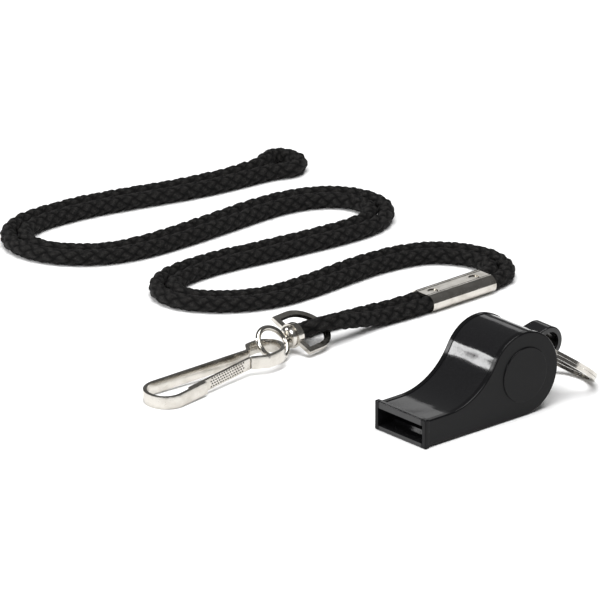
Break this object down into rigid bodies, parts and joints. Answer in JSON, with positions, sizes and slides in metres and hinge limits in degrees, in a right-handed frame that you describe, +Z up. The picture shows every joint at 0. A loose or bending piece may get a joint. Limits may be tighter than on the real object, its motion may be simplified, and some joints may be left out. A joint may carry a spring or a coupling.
{
  "type": "training whistle",
  "caption": "Pea whistle with split ring, and a folded braided neck cord ending in a crimped ferrule, swivel and spring hook.",
  "frame": {"origin": "middle of the mouth lip's under face, on the surface the whistle lies on", "axes": "+X from the mouthpiece towards the round barrel and its ring, +Y across the whistle towards the lanyard, +Z up"},
  "size_m": [0.1505, 0.1987, 0.0243],
  "materials": {
    "black_shell": "polished black, smooth curved top",
    "black_cover": "black with satin flats and a polished rim",
    "black_insert": "moulded matt black",
    "cork": "turned natural cork",
    "ring_steel": "nickel plated spring steel",
    "braid": "round braided black yarn",
    "crimp_steel": "bright nickel plated sheet",
    "cast_nickel": "bright nickel plated casting",
    "wire_nickel": "bright nickel plated wire",
    "strip_nickel": "nickel plated strip with drawn lines"
  },
  "bodies": {
    "whistle": {"body_band": "black_shell", "right_cover": "black_cover", "left_cover": "black_cover", "windway_block": "black_insert"},
    "pea": {"cork_pea": "cork"},
    "ring": {"split_ring": "ring_steel"},
    "lanyard": {"neck_cord": "braid", "ferrule": "crimp_steel"},
    "bow": {"swivel_bow": "cast_nickel"},
    "loop": {"swivel_loop": "wire_nickel", "swivel_collar": "cast_nickel"},
    "hook": {"hook_strip": "strip_nickel"},
    "gate": {"hook_gate": "strip_nickel"}
  },
  "joints": [
    {"name": "pea_roll", "type": "hinge", "parent": "whistle", "child": "pea", "pos_m": [0.0359, 0, 0.01215], "axis": [0, 1, 0], "continuous": true},
    {"name": "ring_swing", "type": "hinge", "parent": "whistle", "child": "ring", "pos_m": [0.05096, 0, 0.01535], "axis": [0, 1, 0], "range_deg": [-120, 20]},
    {"name": "lanyard_lift", "type": "slide", "parent": "whistle", "child": "lanyard", "axis": [0, 0, 1], "range_m": [0, 0.06]},
    {"name": "bow_tilt", "type": "hinge", "parent": "lanyard", "child": "bow", "pos_m": [0.03158, 0.06857, 0.0048], "axis": [-0.0951, 0.905, 0.4147], "range_deg": [-20, 10]},
    {"name": "swivel", "type": "hinge", "parent": "bow", "child": "loop", "pos_m": [0.0195, 0.0673, 0.0048], "axis": [0.9945, 0.1045, 0], "continuous": true},
    {"name": "hook_swing", "type": "hinge", "parent": "loop", "child": "hook", "pos_m": [0.00785, 0.0645, 0.0021], "axis": [-0.0481, -0.0018, 0.9988], "range_deg": [-95, 95]},
    {"name": "gate_open", "type": "hinge", "parent": "hook", "child": "gate", "pos_m": [0.00005, 0.0623, 0.00347], "axis": [0.0481, 0.0018, -0.9988], "range_deg": [0, 14], "stiffness_Nm_per_rad": 0.02}
  ]
}
